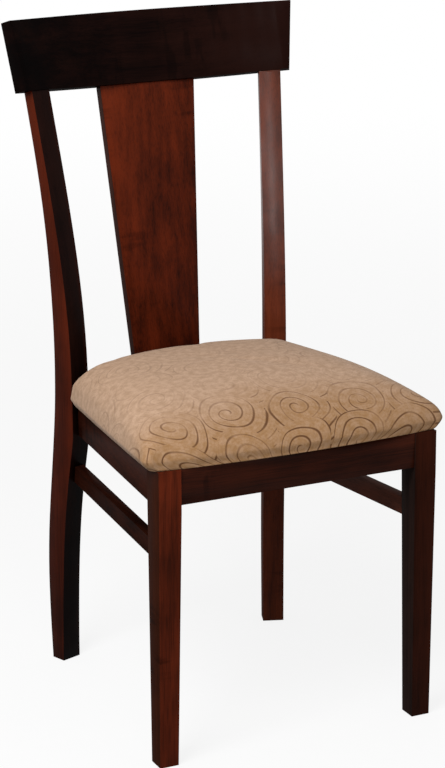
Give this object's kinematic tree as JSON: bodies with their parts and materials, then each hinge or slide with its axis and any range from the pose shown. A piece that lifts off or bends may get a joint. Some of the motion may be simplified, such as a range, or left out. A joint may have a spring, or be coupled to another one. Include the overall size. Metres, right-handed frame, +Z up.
{
  "type": "side chair",
  "caption": "Wooden dining side chair with a curved back, a plank splat, a deep crest rail, side stretchers and a padded fabric seat.",
  "frame": {"origin": "on the floor, in the middle of the chair's footprint box", "axes": "+X to the right seen from the front (the sitter's left), +Y towards the back, +Z up"},
  "size_m": [0.4756, 0.5728, 0.9952],
  "materials": {
    "dark_wood": "satin",
    "block_wood": "matte",
    "dowel_wood": "matte",
    "plywood": "matte",
    "foam": "matte",
    "seat_fabric": "matte",
    "dust_cloth": "matte",
    "steel": "satin"
  },
  "bodies": {
    "root": {"left_front_leg": "dark_wood", "right_front_leg": "dark_wood", "left_back_post": "dark_wood", "right_back_post": "dark_wood", "front_seat_rail": "dark_wood", "left_seat_rail": "dark_wood", "right_seat_rail": "dark_wood", "back_seat_rail": "dark_wood", "left_stretcher": "dark_wood", "right_stretcher": "dark_wood", "crest_rail": "dark_wood", "splat": "dark_wood", "left_front_corner_block": "block_wood", "right_front_corner_block": "block_wood", "left_back_corner_block": "block_wood", "right_back_corner_block": "block_wood", "back_frame_dowels": "dowel_wood", "stretcher_dowels": "dowel_wood", "crest_dowels": "dowel_wood", "corner_block_screws": "steel", "seat_screws": "steel", "seat_panel": "plywood", "seat_foam": "foam", "seat_cover": "seat_fabric", "dust_cover": "dust_cloth", "seat_staples": "steel"}
  },
  "joints": []
}
